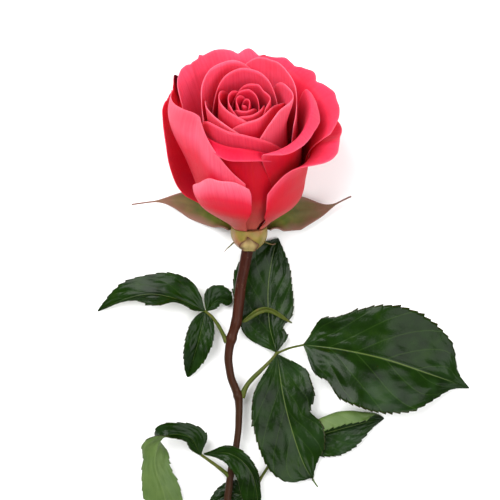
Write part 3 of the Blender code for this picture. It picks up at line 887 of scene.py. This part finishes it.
def leafPoint(leaf, u, v):
    out = abs(u)
    outer = smooth((out - 0.9) / 0.1)
    teeth = leaf.get("teeth", 0)
    saw = (v * teeth) % 1.0 if teeth else 0.0
    tooth = Vector((math.floor(v * teeth) * 1.37, 5 if u > 0 else 11, teeth))
    uneven = 0.4 + 1.1 * abs(noise.noise(tooth))
    size = leaf["width"] / widestLeaf
    half = halfWidth(leaf, u, v)
    fullness = min(1.0, 2 * half / leaf["width"])
    ahead = v + 0.3 * saw / max(teeth, 1) * outer * (1 - v)
    middle = spline(leaf["route"], ahead)
    forward = (spline(leaf["route"], v + 0.01) - spline(leaf["route"], v - 0.01)).normalized()
    side = forward.cross(Vector((0, 0, 1))).normalized()
    turnFrom, turnOver = leaf.get("turnAt", (0.3, 0.3))
    tilt = leaf["tilt"] + leaf.get("twist", 0) * smooth((v - turnFrom) / turnOver)
    side = Matrix.Rotation(math.radians(tilt), 3, forward) @ side
    up = side.cross(forward)
    reach = half * out + outer * saw * uneven * (0.5 + 0.9 * size) * fullness * (teeth > 0)
    # the blade bends round its midrib where it turns over
    bend = leaf.get("bend", 0) * bump(v - 0.42, 0.2) + 0.001
    across = reach * math.sin(bend * out) / (bend * max(out, 0.001))
    rise = reach * (1 - math.cos(bend * out)) / (bend * max(out, 0.001))
    fold = math.radians(leaf["fold"])
    phase = ((v - leafVeins["slant"] * out) * leafVeins["count"] + 20) % 1.0 - 0.5
    relief = (0.22 - 0.7 * abs(phase) ** 1.5) * smooth(out / 0.2) * (1 - 0.7 * outer)
    relief += 1.1 * noise.noise(Vector((2.3 * u, 4.5 * v, leaf["width"]))) * smooth(out / 0.25)
    relief += 0.25 * noise.noise(Vector((9 * u, 16 * v, leaf["width"]))) * smooth(out / 0.25)
    relief -= 0.5 * bump(half * u, 0.9 * size + 0.25)
    amount, count, start = leaf["wave"]
    swing = math.sin(count * 2 * math.pi * v + start * 2 + (1.3 if u > 0 else 0))
    wave = amount * swing * out * out * fullness
    lift = across * math.sin(fold) + rise + relief * (0.35 + 0.65 * size) * fullness + wave
    across *= math.cos(fold)
    # one margin may lie folded back over the blade
    lap = leaf.get("lap")
    if lap and u * lap[0] > 0:
        line = 1 - (1 - lap[1]) * smooth(v / 0.25) * smooth((1 - v) / 0.2)
        past = max(out - line, 0)
        across -= 1.9 * half * past
        lift += 1.1 * smooth(past / 0.12) + 0.1 * half * past
    return middle + side * math.copysign(across, u) + up * lift


for name, leaf in leaflets.items():
    rows = max(60, leaf["teeth"] * 8)
    bent = partial(leafPoint, leaf)
    faces = ["leafTop", "leafUnder"]
    piece = blade("leaflet" + name[-2:], bent, across=40, along=rows, thick=leafThickness, faces=faces)
    place(piece, name, "leaf")

bractOnStem = dict(
    width=1.5, tilt=15, fold=10, wave=(0.1, 2, 0.3),
    route=[(-3.2, -30.0, 7.4), (6.5, -24.8, 6.6), (17.6, -30.5, 4.0)],
)
bent = partial(leafPoint, bractOnStem)
piece = blade("stemBract", bent, across=10, along=40, thick=0.35, faces=["stalk"])
place(piece, "stem_bract", "stalk")

stalks = {
    "stalk_1": dict(
        radii=(0.9, 0.6),
        route=[(-9.6, -38.4, 6.8), (-12.6, -32.5, 6.2), (-15.6, -28.2, 5.8), (-18.9, -25.3, 5.3)],
    ),
    "stalk_2": dict(
        radii=(1.1, 0.6),
        route=[
            (-3.6, -61.4, 5.6), (-0.8, -55.8, 5.3), (5.0, -49.8, 5.0), (8.8, -46.0, 4.8),
            (11.3, -42.7, 4.6),
        ],
    ),
    "stalk_2c": dict(
        radii=(0.5, 0.45),
        route=[(10.9, -43.2, 4.7), (16.7, -40.9, 5.0), (22.6, -39.5, 5.5)],
    ),
    "stalk_3": dict(
        radii=(0.9, 0.6),
        route=[(-8.6, -94.4, 4.6), (-13.8, -90.2, 4.8), (-20.4, -85.4, 5.5)],
    ),
    "stalk_4": dict(
        radii=(0.9, 0.5),
        route=[
            (-7.6, -122.0, 3.3), (-2.0, -111.0, 2.0), (3.6, -97.4, 1.7), (10.5, -87.0, 1.7),
            (16.7, -81.6, 1.7),
        ],
    ),
}


def stalkRadius(radii, t, turn):
    thick = radii[0] + (radii[1] - radii[0]) * smooth(t)
    return thick * (1 + 0.35 * bump(t, 0.09) + 0.04 * math.sin(4 * math.pi * turn + 20 * t))


for name, s in stalks.items():
    bar = partial(barPoint, s["route"], partial(stalkRadius, s["radii"]))
    piece = tube(name.replace("_", ""), bar, facets=16, along=60, look="stalk")
    place(piece, name, "stalk")
print("leaves made")


# the whole plant moves by what brings its receptacle onto the solid one
bpy.context.view_layer.update()
low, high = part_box("receptacle")
corners = [v.co for v in bpy.data.objects["hip"].data.vertices]
hipMiddle = [(min(c[i] for c in corners) + max(c[i] for c in corners)) / 2 for i in range(3)]
shift = (low + high) / 2 - Vector(hipMiddle)
for piece in made:
    piece.data.transform(Matrix.Translation(shift))
    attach(piece, "root")
print("placed by", [round(1000 * s, 2) for s in shift])

floorMesh = bpy.data.meshes.new("floor")
bm = bmesh.new()
bmesh.ops.create_grid(bm, x_segments=1, y_segments=1, size=3.0)
bm.to_mesh(floorMesh)
bm.free()
floor = bpy.data.objects.new("floor", floorMesh)
bpy.context.scene.collection.objects.link(floor)
pale = Nodes("palePaper")
pale.shader.inputs["Base Color"].default_value = (0.90, 0.90, 0.90, 1)
pale.shader.inputs["Roughness"].default_value = 0.9
floorMesh.materials.append(pale.material)

middle = Vector((shift.x, shift.y, 0.0))
view = dict(height=0.8, wide=0.21, sensor=36)
camera = bpy.data.objects.new("camera", bpy.data.cameras.new("camera"))
bpy.context.scene.collection.objects.link(camera)
camera.location = middle + Vector((0, 0, view["height"]))
camera.data.sensor_width = view["sensor"]
camera.data.lens = view["sensor"] * view["height"] / view["wide"]
camera.data.clip_start = 0.01
camera.data.dof.use_dof = False
bpy.context.scene.camera = camera


softboxes = dict(
    keyLight=dict(place=(-0.46, 0.44, 0.92), power=19.0, size=0.8),
    fillLight=dict(place=(0.50, -0.20, 0.85), power=9.0, size=0.8),
)
aimAt = Vector((0, 0.03, 0.03))
worldLight = 0.42


def softbox(name, place, power, size):
    lamp = bpy.data.objects.new(name, bpy.data.lights.new(name, "AREA"))
    bpy.context.scene.collection.objects.link(lamp)
    lamp.data.energy = power
    lamp.data.size = size
    lamp.location = middle + Vector(place)
    aim = middle + aimAt - lamp.location
    lamp.rotation_euler = aim.to_track_quat("-Z", "Y").to_euler()


for name, box in softboxes.items():
    softbox(name, **box)
bpy.context.scene.view_settings.view_transform = "Standard"
world = bpy.data.worlds.new("studio")
world.use_nodes = True
world.node_tree.nodes["Background"].inputs["Color"].default_value = (1, 1, 1, 1)
world.node_tree.nodes["Background"].inputs["Strength"].default_value = worldLight
bpy.context.scene.world = world
print("light and camera set")
